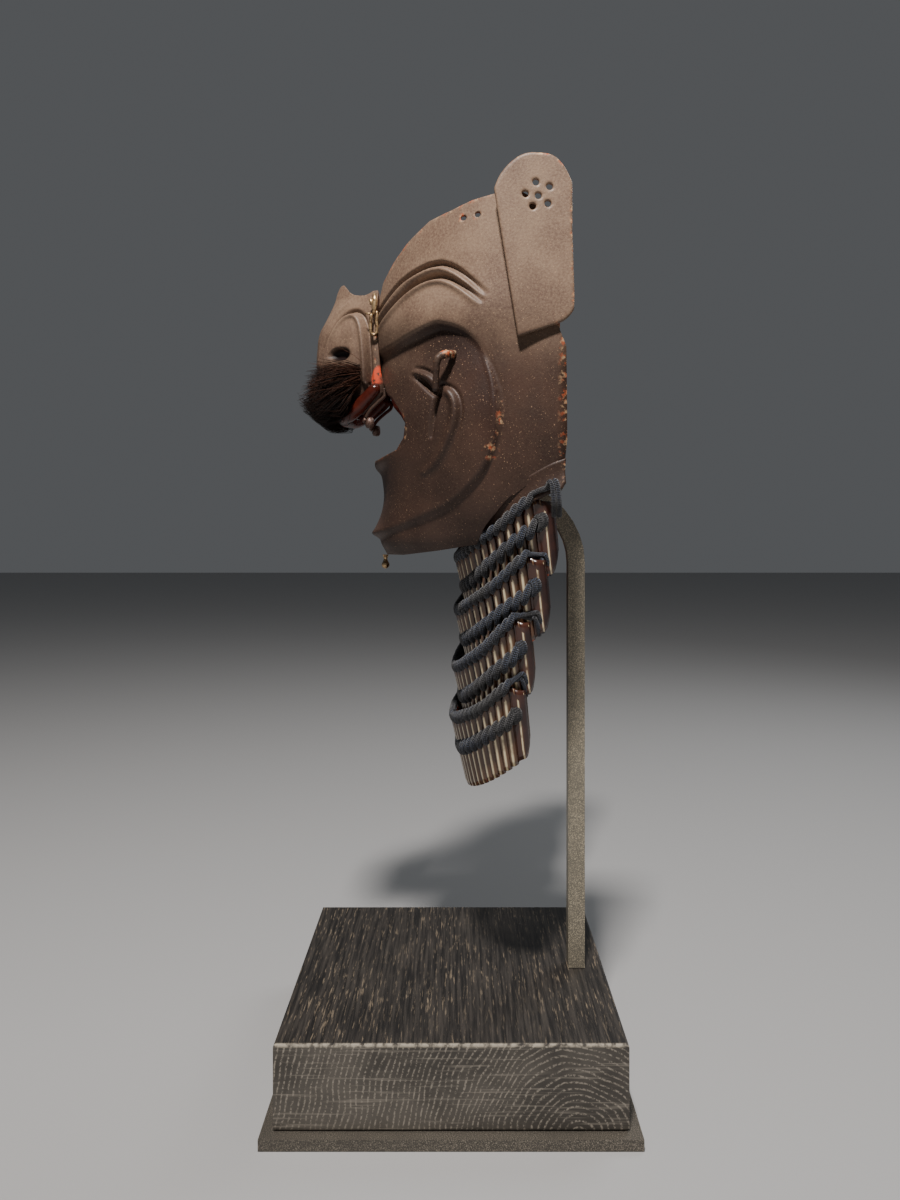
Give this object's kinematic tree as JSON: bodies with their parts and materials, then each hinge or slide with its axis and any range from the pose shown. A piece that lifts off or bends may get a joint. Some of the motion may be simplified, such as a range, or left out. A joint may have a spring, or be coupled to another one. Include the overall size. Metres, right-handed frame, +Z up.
{
  "type": "samurai face guard on a display stand",
  "caption": "Lacquered iron half mask with moustache, ear plates and a laced, ribbed throat guard, held by a bent square bar on a stained oak block with a steel plate.",
  "frame": {"origin": "centre of the base plate's underside", "axes": "+Z up, the mask faces -Y, its left side is at +X"},
  "size_m": [0.167, 0.167, 0.4344],
  "materials": {
    "lacquer": "matt russet-brown lacquer on iron, fine leathery grain",
    "gloss_lacquer": "glossy dark maroon lacquer",
    "silk": "braided indigo silk cord",
    "hair": "coarse dark boar hair",
    "gilt": "worn dull gilt",
    "oak": "black-stained open-grained oak",
    "steel": "blackened bronze-brown steel, fine speckle"
  },
  "bodies": {
    "root": {"base_plate": "steel", "base_block": "oak", "stand_bar": "steel", "face_shell": "lacquer", "ear_plate_left": "lacquer", "ear_plate_right": "lacquer", "neck_plate": "lacquer", "nose_piece": "lacquer", "moustache": "hair", "lip_stud_left": "gilt", "lip_stud_right": "gilt", "nose_pin_left": "gilt", "nose_pin_right": "gilt", "cheek_hook_left": "lacquer", "cheek_hook_right": "lacquer", "chin_knob": "gilt", "throat_lame_1": "gloss_lacquer", "lace_rope_1": "silk", "lace_edge_1": "silk", "throat_lame_2": "gloss_lacquer", "lace_rope_2": "silk", "lace_edge_2": "silk", "throat_lame_3": "gloss_lacquer", "lace_rope_3": "silk", "lace_edge_3": "silk", "throat_lame_4": "gloss_lacquer", "lace_rope_4": "silk", "lace_edge_4": "silk"}
  },
  "joints": []
}
